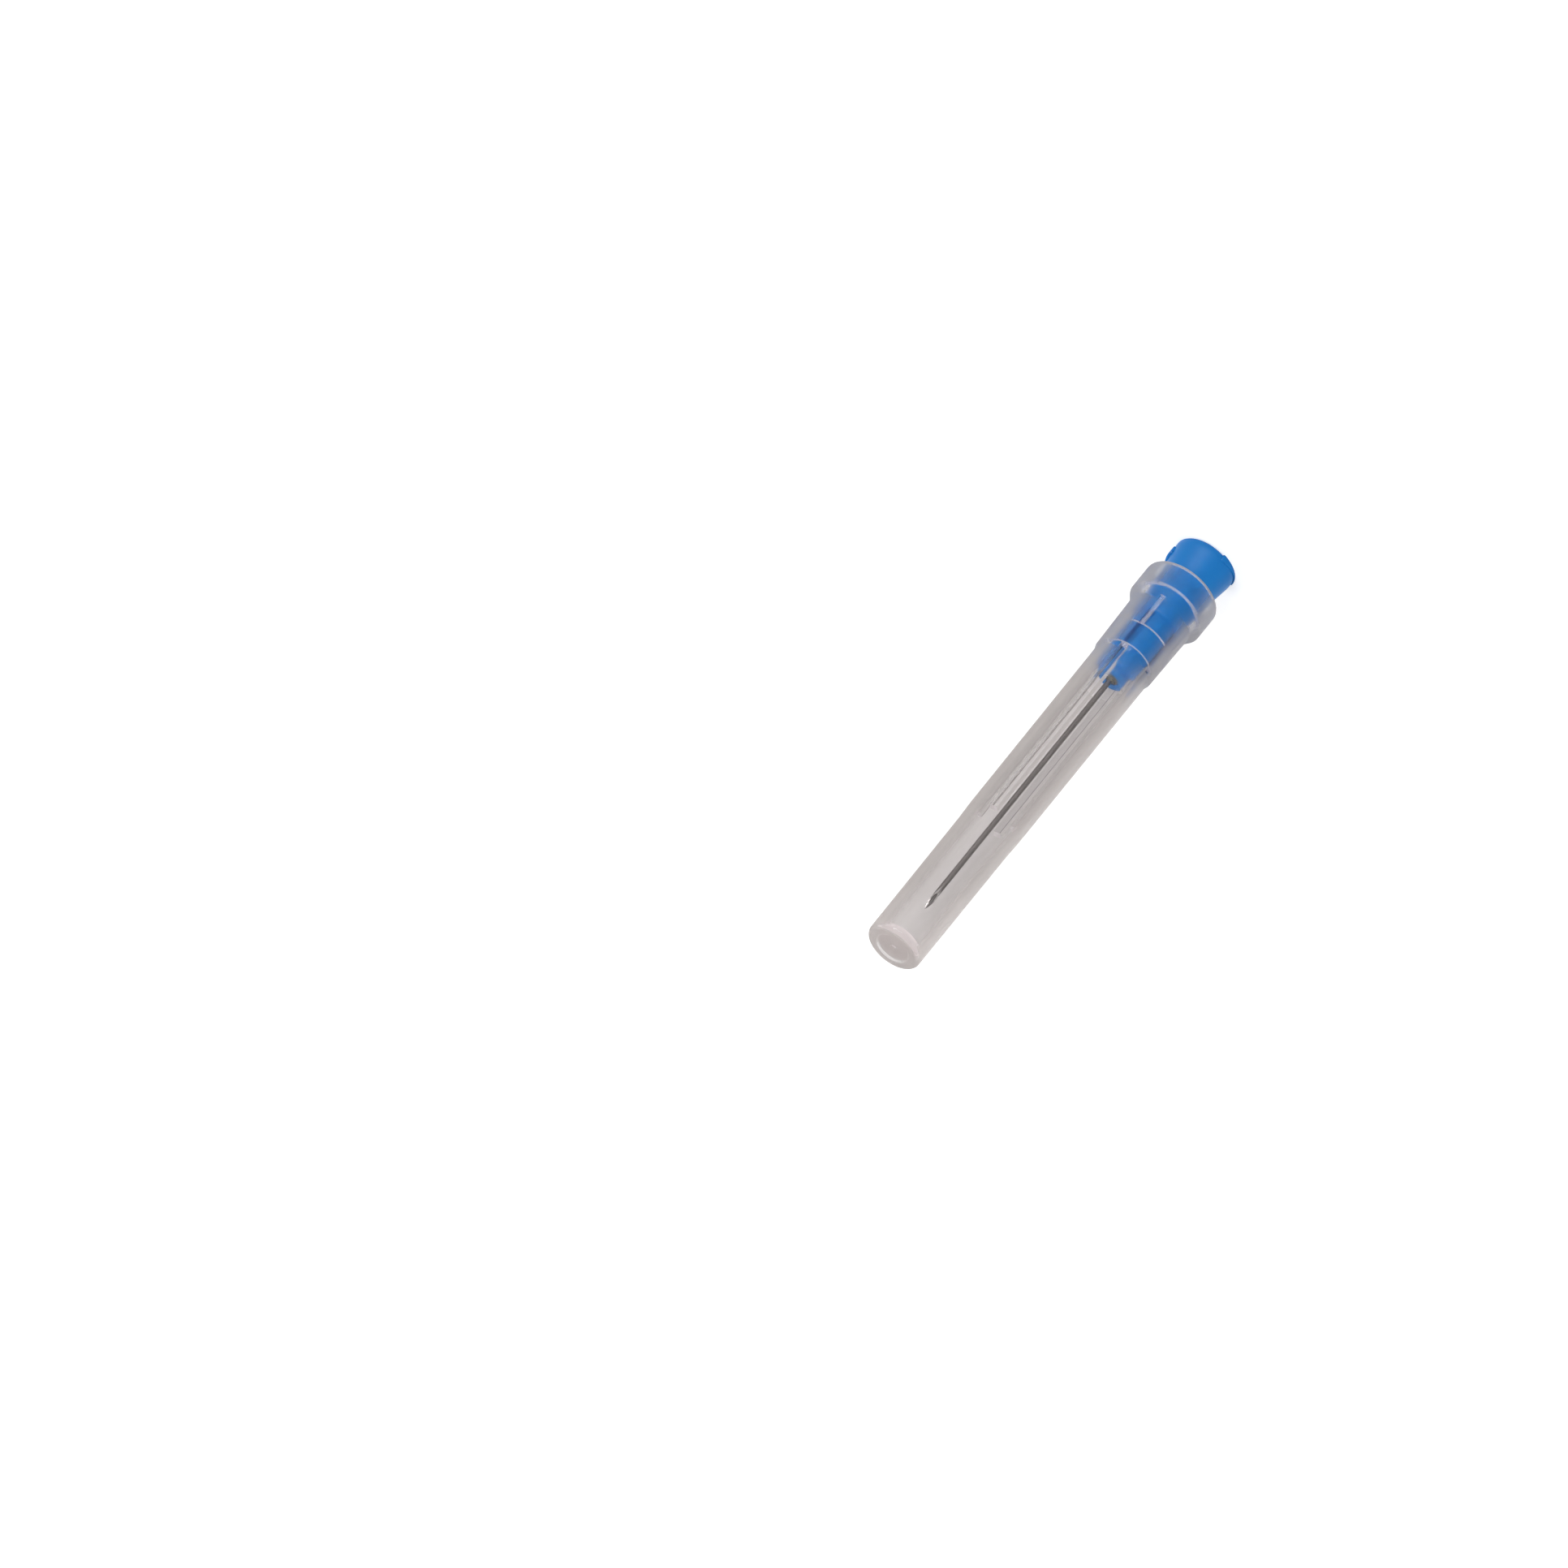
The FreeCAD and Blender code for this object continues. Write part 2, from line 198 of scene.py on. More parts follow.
def blue_polypropylene():
    """Pigmented polypropylene from a polished cavity: an even, fairly deep blue with a soft gloss. A little
    light goes into it at thin edges, and its skin waves slightly where the melt shrank."""
    finish, tree, place = new_finish("blue polypropylene, moulded")
    shrink_wave_mm, shrink_depth_mm = 1.6, 0.06
    wave = node(tree, "ShaderNodeTexNoise", {"Scale": 1 / (shrink_wave_mm * MM), "Detail": 2.0},
                {"Vector": place})
    skin_grain_mm, grain_depth_mm = 0.12, 0.006
    grain = node(tree, "ShaderNodeTexNoise", {"Scale": 1 / (skin_grain_mm * MM), "Detail": 3.0},
                 {"Vector": place})
    colour = node(tree, "ShaderNodeMix",
                  {"data_type": "RGBA", 6: linear("#036ab1"), 7: linear("#0873bb")},
                  {0: wave.outputs["Fac"]})
    gloss = node(tree, "ShaderNodeMapRange", {"To Min": 0.34, "To Max": 0.46},
                 {"Value": grain.outputs["Fac"]})
    waved = node(tree, "ShaderNodeBump", {"Strength": 0.25, "Distance": shrink_depth_mm * MM},
                 {"Height": wave.outputs["Fac"]})
    grained = node(tree, "ShaderNodeBump", {"Strength": 0.15, "Distance": grain_depth_mm * MM},
                   {"Height": grain.outputs["Fac"], "Normal": waved.outputs["Normal"]})
    shader = node(tree, "ShaderNodeBsdfPrincipled",
                  {"IOR": 1.49, "Specular IOR Level": 0.2, "Subsurface Weight": 0.2,
                   "Subsurface Radius": (0.15, 0.5, 1.0), "Subsurface Scale": 0.9 * MM},
                  {"Base Color": colour.outputs[2], "Roughness": gloss.outputs["Result"],
                   "Normal": grained.outputs["Normal"]})
    node(tree, "ShaderNodeOutputMaterial", links={"Surface": shader.outputs["BSDF"]})
    return finish


grooves = {"count": GROOVE_COUNT, "turn": GROOVE_TURN, "width": GROOVE_WIDTH,
           "floor_points": (-1, -0.5, 0, 0.5, 1), "arc_points": 28}
barrel_line = rounded([
    (SOCKET_MOUTH_RADIUS, MOUTH_EASE, 0),
    (SOCKET_MOUTH_RADIUS + MOUTH_EASE, 0, 0.05),
    (RIM_RADIUS - RIM_BEVEL_WIDTH, 0, 0.1),
    (RIM_RADIUS, RIM_BEVEL_HEIGHT, 0.3),
    (RIM_RADIUS, RIM_HEIGHT, 3.0),
    (BARREL_FOOT_RADIUS, FLARE_END, 12.0),
    (BARREL_END_RADIUS, BARREL_END, 0.25),
    (NOSE_RADIUS, BARREL_END, 0),
])
nose_line = rounded([
    (NOSE_RADIUS, BARREL_END, 0),
    (NOSE_END_RADIUS, NOSE_END, 0.3),
    (CORE_RADIUS, NOSE_END, 0),
])
core_line = rounded([
    (CORE_RADIUS, NOSE_END, 0),
    (CORE_RADIUS, HUB_END, 0.25),
    (WELL_RADIUS, HUB_END, 0.05),
    (WELL_FOOT_RADIUS, WELL_FOOT, 0),
    (SEAT_RADIUS, WELL_FOOT, 0),
    (SEAT_RADIUS, SEAT_FOOT, 0),
    (SOCKET_END_RADIUS, SOCKET_DEPTH, 0.3),
    (SOCKET_MOUTH_RADIUS, MOUTH_EASE, 0),
])
hub = skin("moulded_hub", np.concatenate([
    notched_rings(barrel_line, math.inf, grooves),
    notched_rings(nose_line, CORE_RADIUS, grooves),
    notched_rings(core_line[:-1], math.inf, grooves),
]), closed=True)

# Lock lugs
# Two opposite pieces of one right-hand thread, moulded with the flared foot. Their faces rise with the
# thread's 5 mm lead, so that a turn draws them under a syringe's lock collar. The lower one, half a lead
# down, is cut off flush with the open end.
LUG_RADIUS = 3.915
LUG_ROOT = 3.0
LUG_START = math.radians(-6)
LUG_ARC = math.radians(80)
LUG_LEAD = 5.0
LUG_FOOT = 1.12
LUG_THICKNESS = 1.1
LUG_EASE = 0.16
LUG_THINNEST = 0.02
CUT_EASE = 0.02


def lug_rings(turn, foot, stations=33):
    """A lug as rings along its arc. Its section is a rounded rectangle from inside the foot's wall to the
    lug's radius, carried up the helix from its turn and foot, but not below the open end. Near both ends
    the section draws in by a quarter circle, and a last point closes each end."""
    reach = LUG_RADIUS * LUG_ARC / 2
    along = reach * np.sin(np.linspace(-math.pi / 2, math.pi / 2, stations))
    past = np.clip(np.abs(along) - (reach - LUG_EASE), 0, LUG_EASE)
    inset = LUG_EASE - np.sqrt(LUG_EASE**2 - past**2)
    rings = []
    for offset, draw_in in zip(along, inset):
        angle = (offset + reach) / LUG_RADIUS
        under = foot + LUG_LEAD * angle / (2 * math.pi)
        low = max(under + draw_in, 0)
        high = max(under + LUG_THICKNESS - draw_in, low + LUG_THINNEST)
        ease = min(LUG_EASE, (high - low) / 3)
        section = rounded([
            (LUG_ROOT, low, 0), (LUG_RADIUS - draw_in, low, ease if low > 0 else CUT_EASE),
            (LUG_RADIUS - draw_in, high, ease), (LUG_ROOT, high, 0),
        ])
        heading = turn + angle
        rings.append(np.column_stack([section[:, 0] * math.cos(heading), section[:, 0] * math.sin(heading),
                                      section[:, 1]]))
    first = np.broadcast_to(rings[0].mean(axis=0), rings[0].shape)
    last = np.broadcast_to(rings[-1].mean(axis=0), rings[-1].shape)
    return np.stack([first, *rings, last])


def weld_on(piece, extra):
    """Joins the extra solid to the piece as one body, by an exact union that is applied to the mesh."""
    union = piece.modifiers.new("weld", "BOOLEAN")
    union.operation = "UNION"
    union.solver = "EXACT"
    union.object = extra
    depsgraph = bpy.context.evaluated_depsgraph_get()
    welded = bpy.data.meshes.new_from_object(piece.evaluated_get(depsgraph), depsgraph=depsgraph)
    piece.modifiers.remove(union)
    piece.data = welded
    bpy.data.objects.remove(extra)


close_surface(hub)
for lug_turn, lug_foot in ((LUG_START, LUG_FOOT), (LUG_START + math.pi, LUG_FOOT - LUG_LEAD / 2)):
    lug = skin("lug", lug_rings(lug_turn, lug_foot), closed=False)
    close_surface(lug)
    weld_on(hub, lug)
shade_evenly(hub)
hub.data.materials.clear()
hub.data.materials.append(blue_polypropylene())
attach(hub, "needle")
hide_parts("luer_hub")

# Cannula
# A 23 gauge tube of stainless steel, drawn in steps, cut, and ground to a point with three flats: a long
# bevel, then two lancet flats turned to either side of it. It is cropped square inside the hub.
cannula_low, cannula_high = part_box("cannula")
CANNULA_FOOT = cannula_low.z / MM
CANNULA_POINT = cannula_high.z / MM
CANNULA_RADIUS = 0.32
LUMEN_RADIUS = 0.168
BEVEL_ANGLE = math.radians(12)
LANCET_ANGLE = math.radians(17)
LANCET_TURN = math.radians(40)
GROUND_LENGTH = 3.6
GROUND_FOOT = CANNULA_POINT - GROUND_LENGTH


def ground_height(x, y):
    """The height left by the three flats at a place across the tube: the lowest of three sloping planes
    that all pass through the point. Each plane faces away from the point, one straight and two turned."""
    point_x, point_y = 0.0, CANNULA_RADIUS
    heights = []
    for turn, angle in ((0, BEVEL_ANGLE), (-LANCET_TURN, LANCET_ANGLE), (LANCET_TURN, LANCET_ANGLE)):
        back = (point_x - x) * math.sin(turn) + (point_y - y) * math.cos(turn)
        heights.append(CANNULA_POINT - back / math.tan(angle))
    return np.minimum.reduce(heights)


def tube_ring(radius, height=None, columns=96):
    """A circle of points at a height, or where none is given at the height that grinding leaves."""
    angle = math.pi / 2 + 2 * math.pi * np.arange(columns) / columns
    x = radius * np.cos(angle)
    y = radius * np.sin(angle)
    z = ground_height(x, y) if height is None else np.full(columns, float(height))
    return np.column_stack([x, y, z])


cannula = skin("ground_cannula", np.stack([
    tube_ring(CANNULA_RADIUS, CANNULA_FOOT),
    tube_ring(CANNULA_RADIUS, GROUND_FOOT),
    tube_ring(CANNULA_RADIUS),
    tube_ring(LUMEN_RADIUS),
    tube_ring(LUMEN_RADIUS, GROUND_FOOT),
    tube_ring(LUMEN_RADIUS, CANNULA_FOOT),
]), closed=True)


def drawn_steel():
    """Stainless steel tube as drawn through dies: a grey metal, fairly smooth, with fine lines along its
    length that stretch its reflections round the tube."""
    finish, tree, place = new_finish("stainless steel, drawn and ground")
    die_line_mm, die_line_depth_mm = 0.05, 0.004
    long_drawn = 0.01
    lines = node(tree, "ShaderNodeMapping", {"Scale": (1, 1, long_drawn)}, {"Vector": place})
    line = node(tree, "ShaderNodeTexNoise", {"Scale": 1 / (die_line_mm * MM), "Detail": 3.0},
                {"Vector": lines.outputs["Vector"]})
    colour = node(tree, "ShaderNodeMix",
                  {"data_type": "RGBA", 6: linear("#625f5e"), 7: linear("#7c7876")},
                  {0: line.outputs["Fac"]})
    gloss = node(tree, "ShaderNodeMapRange", {"To Min": 0.22, "To Max": 0.4},
                 {"Value": line.outputs["Fac"]})
    scored = node(tree, "ShaderNodeBump", {"Strength": 0.3, "Distance": die_line_depth_mm * MM},
                  {"Height": line.outputs["Fac"]})
    shader = node(tree, "ShaderNodeBsdfPrincipled", {"Metallic": 1.0},
                  {"Base Color": colour.outputs[2], "Roughness": gloss.outputs["Result"],
                   "Normal": scored.outputs["Normal"]})
    node(tree, "ShaderNodeOutputMaterial", links={"Surface": shader.outputs["BSDF"]})
    return finish


shade_evenly(cannula, sharp_degrees=30)
cannula.data.materials.append(drawn_steel())
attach(cannula, "needle")
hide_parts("cannula")

# Adhesive bead
# Clear epoxy that was dropped into the well at the hub's nose and cured by light. It fills the well, and
# its top dips towards the well's rim and climbs the cannula in a small meniscus.
bead_low, bead_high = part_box("adhesive_bead")
BEAD_FOOT = bead_low.z / MM
BEAD_TOP = bead_high.z / MM
BEAD_BORE = CANNULA_RADIUS
MENISCUS_HEIGHT = 0.4
MENISCUS_RADIUS = 0.37
MENISCUS_SPREAD = 0.16
MENISCUS_HEEL = 0.04
WELL_SLOPE = (WELL_RADIUS - WELL_FOOT_RADIUS) / (HUB_END - WELL_FOOT)
BEAD_RIM = BEAD_TOP - MENISCUS_HEIGHT
BEAD_RIM_RADIUS = WELL_FOOT_RADIUS + WELL_SLOPE * (BEAD_RIM - BEAD_FOOT)

bead_line = rounded([
    (BEAD_BORE, BEAD_FOOT, 0),
    (WELL_FOOT_RADIUS, BEAD_FOOT, 0),
    (BEAD_RIM_RADIUS, BEAD_RIM, 0.06),
    (MENISCUS_RADIUS + MENISCUS_SPREAD, BEAD_RIM + MENISCUS_HEEL, 0.3),
    (MENISCUS_RADIUS, BEAD_TOP, 0.03),
    (BEAD_BORE, BEAD_TOP, 0),
], closed=True)
bead = skin("epoxy_bead", notched_rings(bead_line, math.inf, grooves), closed=True)


def clear_epoxy():
    """Clear epoxy, cured by light: glossy as the drop was when it set, with a faint warm tint."""
    finish, tree, place = new_finish("clear epoxy, cured")
    ripple_mm, ripple_depth_mm = 0.4, 0.01
    ripple = node(tree, "ShaderNodeTexNoise", {"Scale": 1 / (ripple_mm * MM), "Detail": 1.0},
                  {"Vector": place})
    gloss = node(tree, "ShaderNodeMapRange", {"To Min": 0.04, "To Max": 0.12},
                 {"Value": ripple.outputs["Fac"]})
    rippled = node(tree, "ShaderNodeBump", {"Strength": 0.2, "Distance": ripple_depth_mm * MM},
                   {"Height": ripple.outputs["Fac"]})
    shader = node(tree, "ShaderNodeBsdfPrincipled",
                  {"IOR": 1.52, "Base Color": linear("#f1eedd"), "Transmission Weight": 0.9},
                  {"Roughness": gloss.outputs["Result"], "Normal": rippled.outputs["Normal"]})
    node(tree, "ShaderNodeOutputMaterial", links={"Surface": shader.outputs["BSDF"]})
    return finish


shade_evenly(bead)
bead.data.materials.append(clear_epoxy())
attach(bead, "needle")
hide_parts("adhesive_bead")

# Sheath
# One injection moulding in natural polypropylene, with no pigment. It is a long thin-walled tube, closed at
# one end where the melt came in, with a collar round its mouth. Four short ribs grip the hub's barrel, and
# four long ones run in the grooves of its nose and stiffen the tube.
sheath_low, sheath_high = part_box("needle_sheath")
SHEATH_MOUTH = sheath_low.z / MM
SHEATH_END = sheath_high.z / MM
COLLAR_RADIUS = 4.697
COLLAR_END = 8.6
SHOULDER = 9.75
SHOULDER_RADIUS = 3.937
GRIP_END = 17.3
GRIP_END_RADIUS = 3.797
TUBE_FOOT = 17.8
TUBE_FOOT_RADIUS = 3.59
RIB_END = 43.7
RIB_END_RADIUS = 3.52
TUBE_NECK = 46.3
TUBE_NECK_RADIUS = 3.44
TUBE_END_RADIUS = 3.38
DISH_RADIUS = 2.18
DISH_DEPTH = 0.2
GATE_RADIUS = 0.38
GATE_HEIGHT = 0.13
GATE_DRAFT = 0.03
MOUTH_CHAMFER = 0.1

MOUTH_BORE = 3.757
MOUTH_BORE_END = 7.6
MOUTH_BORE_SLOPE = 0.2
GRIP_BORE = 3.427
GRIP_BORE_END = 13.5
GRIP_RIB_FOOT = 8.9
GRIP_RIB_TIP = 3.227
NOSE_BORE = 3.05
NOSE_BORE_END = 16.6
TUBE_BORE = 2.8
TIP_BORE = 2.67
END_WALL = 1.1
TIP_BORE_END = SHEATH_END - END_WALL
LONG_RIB_TIP = 1.96

grip_ribs = {"count": 4, "turn": math.radians(24), "width": 0.55, "floor_points": (-1, -0.6, 0.6, 1),
             "arc_points": 29}
long_ribs = {"count": GROOVE_COUNT, "turn": GROOVE_TURN, "width": 0.85,
             "floor_points": (-1, -0.5, 0, 0.72, 1), "arc_points": 28}

outer_line = rounded([
    (0, SHEATH_END - DISH_DEPTH + GATE_HEIGHT, 0),
    (GATE_RADIUS, SHEATH_END - DISH_DEPTH + GATE_HEIGHT, 0.05),
    (GATE_RADIUS + GATE_DRAFT, SHEATH_END - DISH_DEPTH, 0.05),
    (DISH_RADIUS - DISH_DEPTH, SHEATH_END - DISH_DEPTH, 0.3),
    (DISH_RADIUS, SHEATH_END, 0.3),
    (TUBE_END_RADIUS, SHEATH_END, 0.55),
    (TUBE_NECK_RADIUS, TUBE_NECK, 5.0),
    (RIB_END_RADIUS, RIB_END, 5.0),
    (TUBE_FOOT_RADIUS, TUBE_FOOT, 0.3),
    (GRIP_END_RADIUS, GRIP_END, 0.3),
    (SHOULDER_RADIUS, SHOULDER, 0.6),
    (COLLAR_RADIUS, COLLAR_END, 0.3),
    (COLLAR_RADIUS, SHEATH_MOUTH, 0.6),
    (MOUTH_BORE + MOUTH_CHAMFER, SHEATH_MOUTH, 0.05),
    (MOUTH_BORE, SHEATH_MOUTH + MOUTH_CHAMFER, 0.05),
    (MOUTH_BORE, MOUTH_BORE_END, 0.1),
    (GRIP_BORE, MOUTH_BORE_END + MOUTH_BORE_SLOPE, 0.1),
    (GRIP_BORE, GRIP_RIB_FOOT, 0),
])
grip_line = np.array([(GRIP_BORE, GRIP_RIB_FOOT), (GRIP_BORE, GRIP_BORE_END)])
neck_line = rounded([
    (NOSE_BORE, GRIP_BORE_END, 0),
    (NOSE_BORE, NOSE_BORE_END, 0.1),
    (TUBE_BORE, NOSE_BORE_END, 0),
])
ribbed_line = np.array([(TUBE_BORE, NOSE_BORE_END), (TUBE_BORE, RIB_END)])
end_line = rounded([
    (TUBE_BORE, RIB_END, 0),
    (TIP_BORE, TUBE_NECK, 3.0),
    (TIP_BORE, TIP_BORE_END, 0.5),
    (0, TIP_BORE_END, 0),
])
sheath = skin("moulded_sheath", np.concatenate([
    notched_rings(outer_line, math.inf, grip_ribs),
    notched_rings(grip_line, GRIP_RIB_TIP, grip_ribs),
    notched_rings(neck_line, math.inf, long_ribs),
    notched_rings(ribbed_line, LONG_RIB_TIP, long_ribs),
    notched_rings(end_line, math.inf, long_ribs),
]), closed=False)


HAZE_COLOURS = ("#c5c0be", "#cdc9c7")
ROUGH_TO = 20.0
SMOOTH_FROM = 25.0
VEIL_FROM = 16.0
VEIL_FULL = 21.5


def natural_polypropylene(name, roughness, outside, within, veil=0.0, haze_colours=HAZE_COLOURS):
    """Unpigmented polypropylene: clear to what lies close behind it, with a soft grey haze from its
    crystals. Outside and within are the shares of haze, from square on to edge on, where a surface is met
    from the air and from inside the wall. The veil is a little more haze outside, on the tube past the hub.
    The roughness eases from its first value, near the mouth, to its second further up, as a core pin would
    leave that is blasted at its foot and polished beyond. Lamps shine through the wall."""
    finish, tree, place = new_finish(name)
    crystal_mm, crystal_relief_mm = 0.25, 0.004
    flow_mm, flow_drawn = 1.2, 0.12
    still_square_on, edge_on_from_outside, edge_on_from_within = 0.14, 0.5, 0.8
    shining_through = 0.75
    height = node(tree, "ShaderNodeSeparateXYZ", links={"Vector": place}).outputs["Z"]
    rough = node(tree, "ShaderNodeMapRange",
                 {"interpolation_type": "SMOOTHSTEP", "From Min": ROUGH_TO * MM,
                  "From Max": SMOOTH_FROM * MM, "To Min": roughness[0], "To Max": roughness[1]},
                 {"Value": height})
    cloud = node(tree, "ShaderNodeTexNoise", {"Scale": 1 / (crystal_mm * MM), "Detail": 3.0},
                 {"Vector": place})
    flow = node(tree, "ShaderNodeMapping", {"Scale": (1, 1, flow_drawn)}, {"Vector": place})
    streak = node(tree, "ShaderNodeTexNoise", {"Scale": 1 / (flow_mm * MM), "Detail": 2.0},
                  {"Vector": flow.outputs["Vector"]})
    colour = node(tree, "ShaderNodeMix",
                  {"data_type": "RGBA", 6: linear(haze_colours[0]), 7: linear(haze_colours[1])},
                  {0: streak.outputs["Fac"]})
    clouded = node(tree, "ShaderNodeBump", {"Strength": 0.15, "Distance": crystal_relief_mm * MM},
                   {"Height": cloud.outputs["Fac"]})
    clear = node(tree, "ShaderNodeBsdfPrincipled",
                 {"IOR": 1.12, "Transmission Weight": 1.0, "Base Color": linear("#fcfdff")},
                 {"Roughness": rough.outputs["Result"], "Normal": clouded.outputs["Normal"]})
    edge_on = node(tree, "ShaderNodeLayerWeight", {"Blend": 0.5}).outputs["Facing"]
    least = node(tree, "ShaderNodeMapRange",
                 {"interpolation_type": "SMOOTHSTEP", "From Min": VEIL_FROM * MM,
                  "From Max": VEIL_FULL * MM, "To Min": outside[0], "To Max": outside[0] + veil},
                 {"Value": height})
    met_outside = node(tree, "ShaderNodeMapRange",
                       {"interpolation_type": "SMOOTHSTEP", "From Min": still_square_on,
                        "From Max": edge_on_from_outside, "To Max": outside[1]},
                       {"Value": edge_on, "To Min": least.outputs["Result"]})
    met_within = node(tree, "ShaderNodeMapRange",
                      {"From Min": still_square_on, "From Max": edge_on_from_within,
                       "To Min": within[0], "To Max": within[1]},
                      {"Value": edge_on})
    from_within = node(tree, "ShaderNodeNewGeometry").outputs["Backfacing"]
    share = node(tree, "ShaderNodeMix", {},
                 {0: from_within, 2: met_outside.outputs["Result"], 3: met_within.outputs["Result"]})
    soft = node(tree, "ShaderNodeBsdfDiffuse", {}, {"Color": colour.outputs[2]})
    through = node(tree, "ShaderNodeBsdfTranslucent", {}, {"Color": colour.outputs[2]})
    haze = node(tree, "ShaderNodeMixShader", {0: shining_through},
                {1: soft.outputs["BSDF"], 2: through.outputs["BSDF"]})
    wall = node(tree, "ShaderNodeMixShader", {},
                {0: share.outputs[0], 1: clear.outputs["BSDF"], 2: haze.outputs["Shader"]})
    to_lamp = node(tree, "ShaderNodeLightPath").outputs["Is Shadow Ray"]
    lit_through = node(tree, "ShaderNodeBsdfTransparent", {"Color": linear("#ffffff")})
    shader = node(tree, "ShaderNodeMixShader", {},
                  {0: to_lamp, 1: wall.outputs["Shader"], 2: lit_through.outputs["BSDF"]})
    node(tree, "ShaderNodeOutputMaterial", links={"Surface": shader.outputs["Shader"]})
    return finish


def beside_rib(x, y, ribs):
    """Places across and along a rib: a point is turned back by the nearest rib's turn, and then its first
    number is the distance from the rib's middle plane and its second the distance out from the axis."""
    pitch = 2 * math.pi / ribs["count"]
    angle = np.arctan2(y, x) - ribs["turn"]
    angle = angle - pitch * np.round(angle / pitch)
    return np.hypot(x, y) * np.sin(angle), np.hypot(x, y) * np.cos(angle)


def line_inside(piece, finishes, wall_middle):
    """Gives three finishes to the inside of a hollow turned piece: faces whose centre is nearer to the axis
    than the middle of the wall, from (height, radius) pairs in millimetres, and below its end. Those that
    lie across the axis, the steps and the ribs' ends, get the second, as do the short ribs' tips; its
    lighter haze is a painted highlight for the light these edges catch. One corner of each long rib's tip
    gets the third, whose darker haze is painted shade for the thin line that light bent at the corner
    draws, and the others the first."""
    past_end, past_tip = 0.1, 0.01
    across_axis = 0.6
    corner_from, tip_to = 0.36, 0.3
    bore, frost_and_highlight, painted_shade_corner = 1, 2, 3
    for finish in finishes:
        piece.data.materials.append(finish)
    centres = np.empty(len(piece.data.polygons) * 3)
    piece.data.polygons.foreach_get("center", centres)
    x, y, z = centres.reshape(-1, 3).T / MM
    facing = np.empty(len(piece.data.polygons) * 3)
    piece.data.polygons.foreach_get("normal", facing)
    heights, radii = np.array(wall_middle).T
    inside = (np.hypot(x, y) < np.interp(z, heights, radii)) & (z < TIP_BORE_END + past_end)
    steps = np.abs(facing[2::3]) > across_axis
    across, along = beside_rib(x, y, long_ribs)
    corners = (z > NOSE_BORE_END) & (z < RIB_END) & (along < LONG_RIB_TIP + past_tip)
    corners &= across > corner_from * long_ribs["width"]
    across, along = beside_rib(x, y, grip_ribs)
    tips = (z > GRIP_RIB_FOOT) & (z < GRIP_BORE_END) & (along < GRIP_RIB_TIP + past_tip)
    tips &= np.abs(across) < tip_to * grip_ribs["width"]
    slots = np.where(steps | tips, frost_and_highlight, np.where(corners, painted_shade_corner, bore)) * inside
    piece.data.polygons.foreach_set("material_index", slots.astype(np.int32))


INTO_WALL = 0.1
shade_evenly(sheath)
sheath.data.materials.append(natural_polypropylene(
    "natural polypropylene, polished",
    roughness=(0.03, 0.02), outside=(0.0, 0.85), within=(0.9, 0.95), veil=0.09))
# The rib corners' darker haze is painted shade, standing in for the thin line that light bent at each
# rib's corner draws along the rib
line_inside(sheath, [
    natural_polypropylene("natural polypropylene, from the core pin",
                          roughness=(0.35, 0.02), outside=(0.75, 0.9), within=(0.0, 0.1)),
    # Painted highlight: the steps' and short rib tips' frosted haze is lighter than the wall's, for the
    # light they catch
    natural_polypropylene("natural polypropylene, frosted steps, painted highlight",
                          roughness=(0.2, 0.2), outside=(0.8, 0.8), within=(0.8, 0.8),
                          haze_colours=("#eee6e8", "#f4eeef")),
    # Painted shade: one corner of each long rib gets a darker haze than the wall's
    natural_polypropylene("natural polypropylene, rib corners, painted shade",
                          roughness=(0.2, 0.2), outside=(0.75, 0.9), within=(0.7, 0.7),
                          haze_colours=("#999391", "#a19b9a")),
], wall_middle=[
    (SHEATH_MOUTH, MOUTH_BORE + INTO_WALL),
    (MOUTH_BORE_END + MOUTH_BORE_SLOPE, MOUTH_BORE + INTO_WALL),
    (SHOULDER, GRIP_BORE + INTO_WALL),
    (GRIP_END, GRIP_BORE + INTO_WALL),
    (TUBE_FOOT, TUBE_BORE + 3 * INTO_WALL),
    (SHEATH_END, TIP_BORE + INTO_WALL),
])
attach(sheath, "sheath")
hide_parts("needle_sheath")

# Studio
# A white table that runs far out of view, three large soft lamps round the object, a fourth that shows in
# its gloss alone, and an even sky. To the camera, and in reflections and through the sheath, the table and
# the sky are white; the object's shadow stays.
TABLE_RADIUS = 6.0
TABLE_GLOW = 0.4
RIM_POINTS = 64
SKY_ON_OBJECT = 0.6
SKY_AS_SEEN = 1.0
OBJECT_MIDDLE = Vector((0, 0, SHEATH_END * MM / 2))


def seen_directly(tree):
    """One for a ray from the camera, off a glossy surface or through a clear one, and nought for others."""
    ray = node(tree, "ShaderNodeLightPath").outputs
    reflected = node(tree, "ShaderNodeMath", {"operation": "MAXIMUM"},
                     {0: ray["Is Camera Ray"], 1: ray["Is Glossy Ray"]})
    return node(tree, "ShaderNodeMath", {"operation": "MAXIMUM"},
                {0: reflected.outputs[0], 1: ray["Is Transmission Ray"]}).outputs[0]


def white_table():
    """Matt white table: lit like paper, with enough glow of its own to be white when seen directly."""
    finish, tree, _ = new_finish("matt white table")
    glow = node(tree, "ShaderNodeMath", {"operation": "MULTIPLY", 1: TABLE_GLOW}, {0: seen_directly(tree)})
    shader = node(tree, "ShaderNodeBsdfPrincipled",
                  {"Base Color": linear("#e6e6e6"), "Roughness": 1.0, "Specular IOR Level": 0.0,
                   "Emission Color": linear("#ffffff")},
                  {"Emission Strength": glow.outputs[0]})
    node(tree, "ShaderNodeOutputMaterial", links={"Surface": shader.outputs["BSDF"]})
    return finish


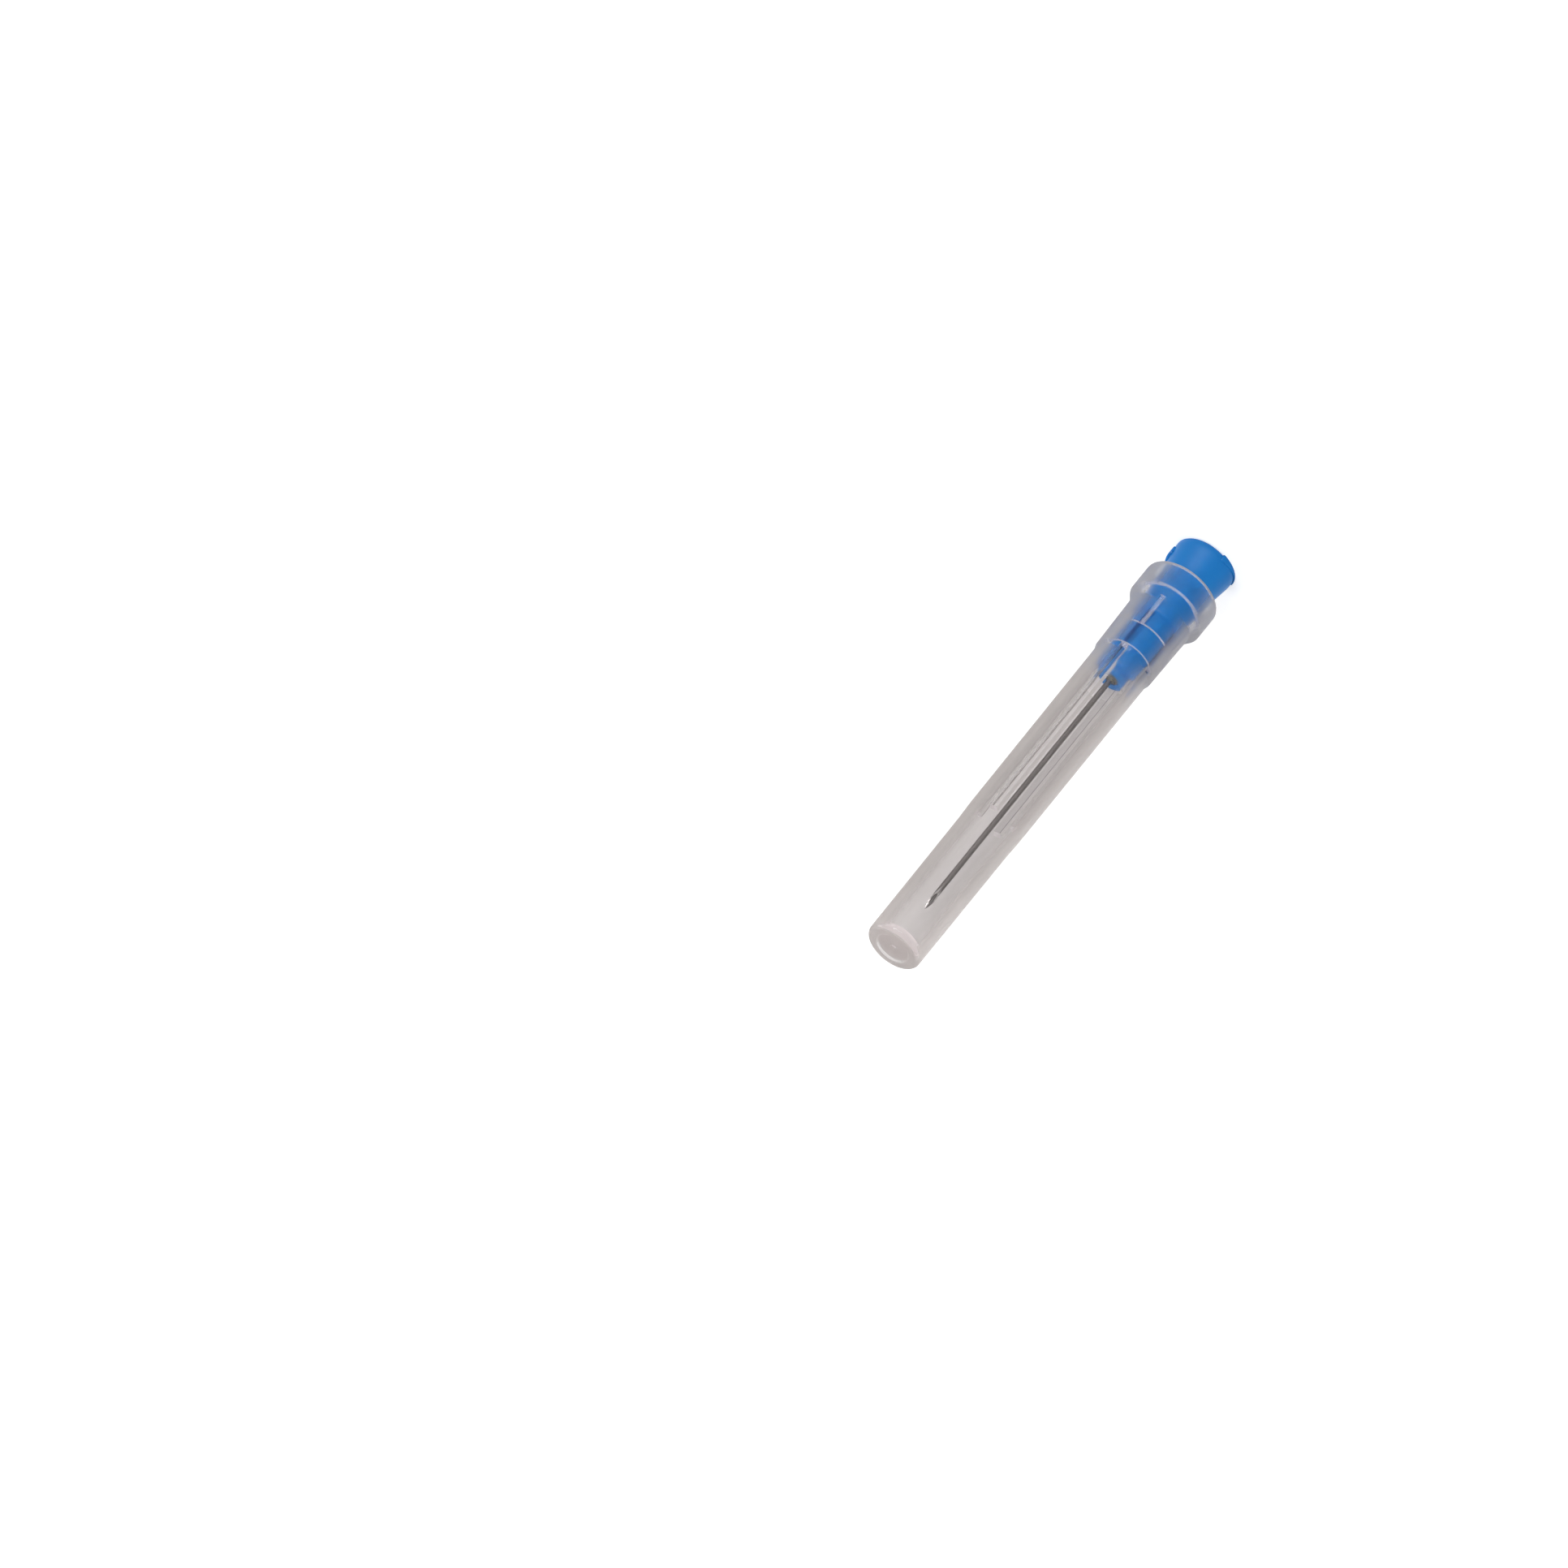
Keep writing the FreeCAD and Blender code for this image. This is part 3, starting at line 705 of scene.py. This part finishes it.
angle = np.linspace(0, 2 * math.pi, RIM_POINTS, endpoint=False)
table_rim = np.column_stack([TABLE_RADIUS * np.cos(angle), TABLE_RADIUS * np.sin(angle), 0 * angle])
table_mesh = bpy.data.meshes.new("table")
table_mesh.from_pydata(table_rim, [], [range(RIM_POINTS)])
table = bpy.data.objects.new("table", table_mesh)
bpy.context.collection.objects.link(table)
table.data.materials.append(white_table())

sky = bpy.data.worlds.new("studio sky")
sky.use_nodes = True
sky.node_tree.nodes.clear()
sky_level = node(sky.node_tree, "ShaderNodeMapRange", {"To Min": SKY_ON_OBJECT, "To Max": SKY_AS_SEEN},
                 {"Value": seen_directly(sky.node_tree)})
sky_light = node(sky.node_tree, "ShaderNodeBackground", {"Color": linear("#ffffff")},
                 {"Strength": sky_level.outputs["Result"]})
node(sky.node_tree, "ShaderNodeOutputWorld", links={"Surface": sky_light.outputs["Background"]})
bpy.context.scene.world = sky


def soft_lamp(name, towards, distance, size, power, gloss_alone=False):
    """A square soft lamp at a distance from the object's middle in a direction, facing the object. Where it
    is for gloss alone it shows as a highlight and lights nothing."""
    lamp = bpy.data.lights.new(name, "AREA")
    lamp.size = size
    lamp.energy = power
    holder = bpy.data.objects.new(name, lamp)
    direction = Vector(towards).normalized()
    holder.location = OBJECT_MIDDLE + direction * distance
    holder.rotation_euler = direction.to_track_quat("Z", "Y").to_euler()
    holder.visible_diffuse = not gloss_alone
    bpy.context.collection.objects.link(holder)


soft_lamp("key lamp", (0.5, -0.75, 0.45), distance=0.6, size=0.4, power=1.7)
soft_lamp("fill lamp", (-0.8, -0.45, 0.4), distance=0.8, size=0.5, power=1.4)
soft_lamp("back lamp", (0.75, 0.6, 0.5), distance=0.8, size=0.5, power=1.9)
soft_lamp("highlight lamp", (0.47, -0.88, 0.05), distance=0.7, size=0.4, power=18.0, gloss_alone=True)

# Camera
# It looks down at the standing needle from 30 degrees and is turned on its own axis, so that the needle
# lies across the picture with its closed end low on the left, as in the photograph.
CAMERA_LOWER = math.radians(30)
CAMERA_ROLL = math.radians(219.5)
CAMERA_DISTANCE = 1.5
FRAME_WIDTH_AT_OBJECT = 0.1748
AIM_BESIDE = -0.02974
AIM_BELOW = -0.003425
SENSOR_WIDTH = 36.0

level_right = Vector((1, 0, 0))
level_up = Vector((0, math.sin(CAMERA_LOWER), math.cos(CAMERA_LOWER)))
camera_right = level_right * math.cos(CAMERA_ROLL) + level_up * math.sin(CAMERA_ROLL)
camera_up = level_up * math.cos(CAMERA_ROLL) - level_right * math.sin(CAMERA_ROLL)
camera_back = camera_right.cross(camera_up)
aim = OBJECT_MIDDLE + camera_right * AIM_BESIDE + camera_up * AIM_BELOW
lens = bpy.data.cameras.new("camera")
lens.sensor_width = SENSOR_WIDTH
lens.lens = SENSOR_WIDTH * CAMERA_DISTANCE / FRAME_WIDTH_AT_OBJECT
lens.clip_start = 0.01
camera = bpy.data.objects.new("camera", lens)
camera.matrix_world = Matrix.Translation(aim + camera_back * CAMERA_DISTANCE) @ Matrix(
    (camera_right, camera_up, camera_back)).transposed().to_4x4()
bpy.context.collection.objects.link(camera)
bpy.context.scene.camera = camera
bpy.context.scene.view_settings.view_transform = "Standard"
